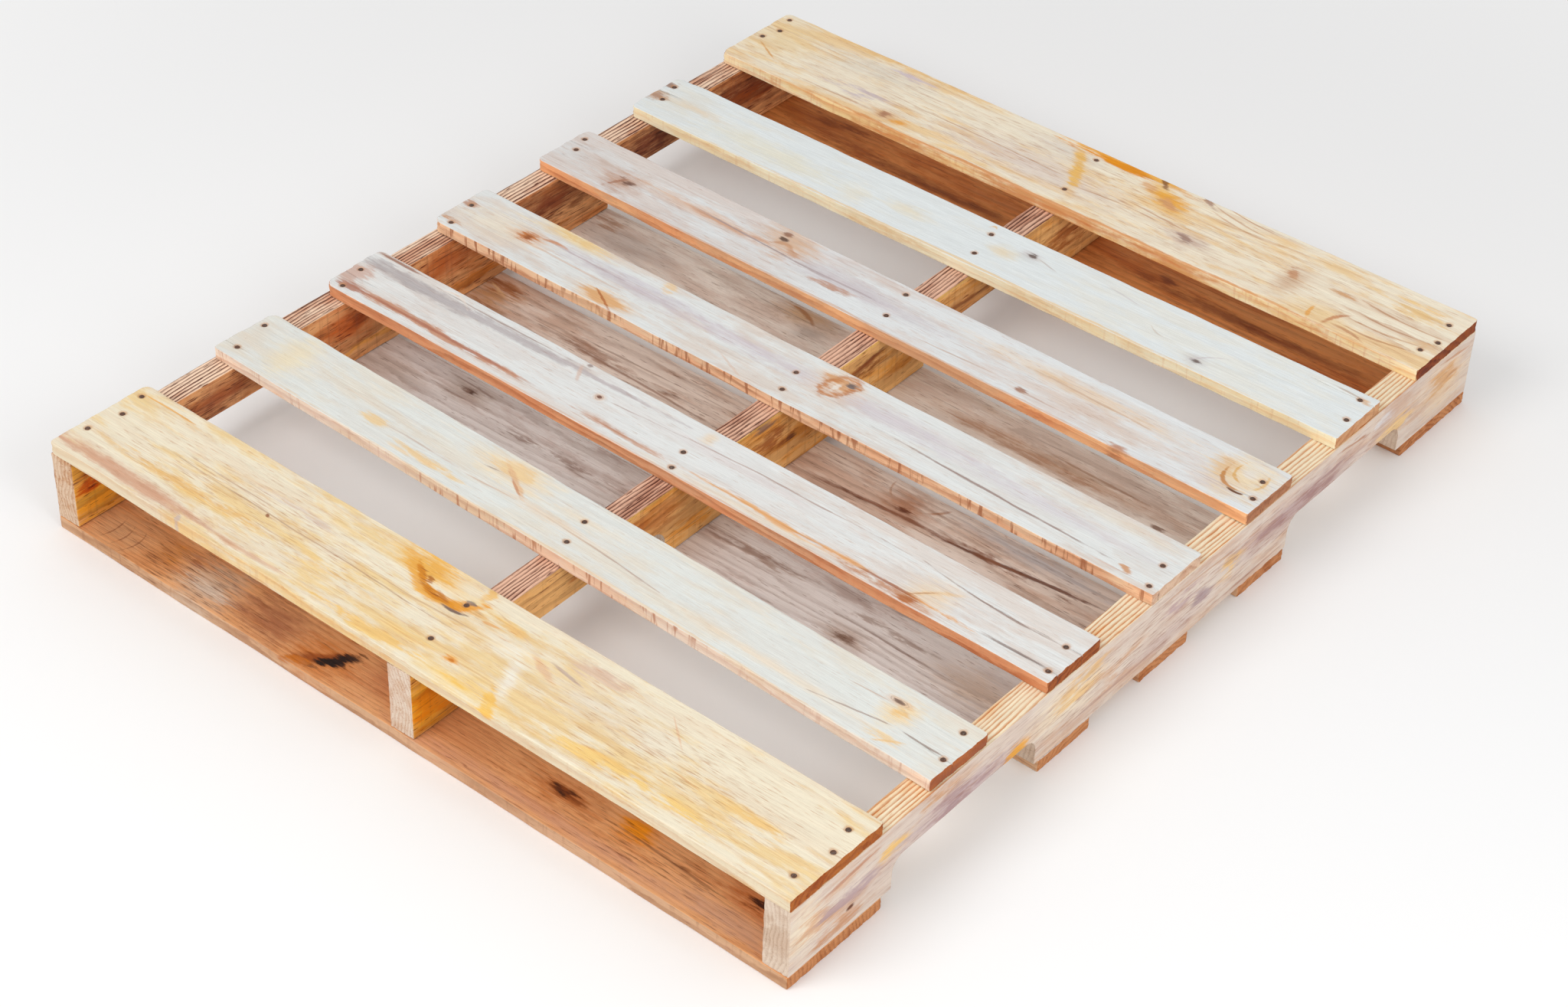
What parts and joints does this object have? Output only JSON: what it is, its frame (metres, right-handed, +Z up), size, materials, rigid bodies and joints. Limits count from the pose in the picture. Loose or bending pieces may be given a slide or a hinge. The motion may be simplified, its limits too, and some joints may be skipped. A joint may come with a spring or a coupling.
{
  "type": "wooden pallet",
  "caption": "Notched stringer pallet of sawn softwood: stringers between a slatted top deck and a slatted bottom deck, nailed together, open on all sides for forks.",
  "frame": {"origin": "on the floor at the centre of the pallet's footprint", "axes": "+Z up; +Y along the stringers, from the front lead board to the back one; +X along the deck boards, to the right seen from the front"},
  "size_m": [1.016, 1.2192, 0.1159],
  "materials": {
    "deck_wood": "sawn, dry, pale",
    "lead_board_wood": "sawn, dry, yellow",
    "bottom_wood": "sawn, weathered",
    "stringer_wood": "sawn, striped grain",
    "nail_steel": "dark, rusted"
  },
  "bodies": {
    "root": {"stringer_left": "stringer_wood", "stringer_centre": "stringer_wood", "stringer_right": "stringer_wood", "top_lead_board_front": "lead_board_wood", "top_board_2": "deck_wood", "top_board_3": "deck_wood", "top_board_4": "deck_wood", "top_board_5": "deck_wood", "top_board_6": "deck_wood", "top_lead_board_back": "lead_board_wood", "bottom_lead_board_front": "bottom_wood", "bottom_board_2": "bottom_wood", "bottom_board_3": "bottom_wood", "bottom_board_4": "bottom_wood", "bottom_lead_board_back": "bottom_wood", "nails_top_lead_board_front": "nail_steel", "nails_top_board_2": "nail_steel", "nails_top_board_3": "nail_steel", "nails_top_board_4": "nail_steel", "nails_top_board_5": "nail_steel", "nails_top_board_6": "nail_steel", "nails_top_lead_board_back": "nail_steel", "nails_bottom_lead_board_front": "nail_steel", "nails_bottom_board_2": "nail_steel", "nails_bottom_board_3": "nail_steel", "nails_bottom_board_4": "nail_steel", "nails_bottom_lead_board_back": "nail_steel"}
  },
  "joints": []
}
